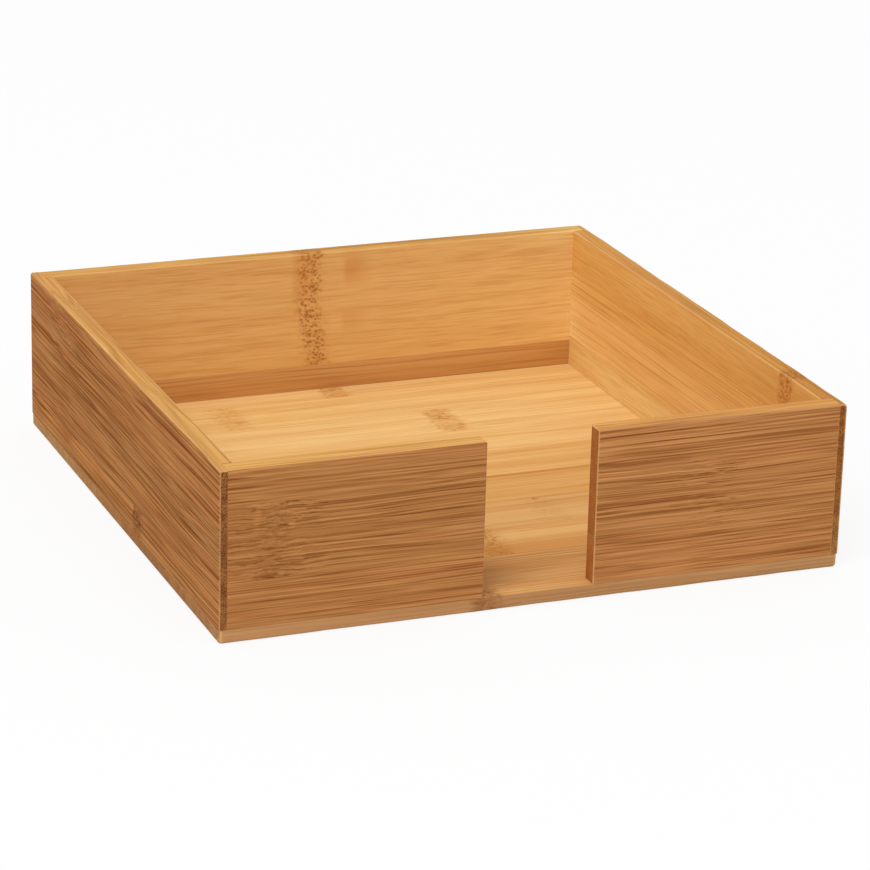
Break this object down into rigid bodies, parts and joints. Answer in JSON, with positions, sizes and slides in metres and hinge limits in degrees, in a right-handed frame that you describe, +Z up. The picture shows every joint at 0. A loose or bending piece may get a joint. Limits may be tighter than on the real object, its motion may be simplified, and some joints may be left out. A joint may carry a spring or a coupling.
{
  "type": "napkin tray",
  "caption": "Open square bamboo napkin tray, glued from edge-joined strips, with a finger slot down to the base in the front wall.",
  "frame": {"origin": "middle of the underside of the base panel", "axes": "+Z up, -Y towards the front wall with the finger slot, +X to the right as seen from the front"},
  "size_m": [0.18, 0.18, 0.0481],
  "materials": {
    "bamboo_base": "sanded bamboo under a thin clear satin lacquer",
    "bamboo_wall": "steam-toned bamboo under a thin clear satin lacquer",
    "bamboo_front": "steam-toned bamboo with dark fibre lines under a thin clear satin lacquer"
  },
  "bodies": {
    "root": {"base_strip_1": "bamboo_base", "base_strip_2": "bamboo_base", "base_strip_3": "bamboo_base", "base_strip_4": "bamboo_base", "base_strip_5": "bamboo_base", "base_strip_6": "bamboo_base", "base_strip_7": "bamboo_base", "base_strip_8": "bamboo_base", "base_strip_9": "bamboo_base", "base_strip_10": "bamboo_base", "left_wall_lower": "bamboo_wall", "left_wall_middle": "bamboo_wall", "left_wall_upper": "bamboo_wall", "right_wall_lower": "bamboo_wall", "right_wall_middle": "bamboo_wall", "right_wall_upper": "bamboo_wall", "back_wall_lower": "bamboo_wall", "back_wall_middle": "bamboo_wall", "back_wall_upper": "bamboo_wall", "front_left_lower": "bamboo_front", "front_left_middle": "bamboo_front", "front_left_upper": "bamboo_front", "front_right_lower": "bamboo_front", "front_right_middle": "bamboo_front", "front_right_upper": "bamboo_front"}
  },
  "joints": []
}
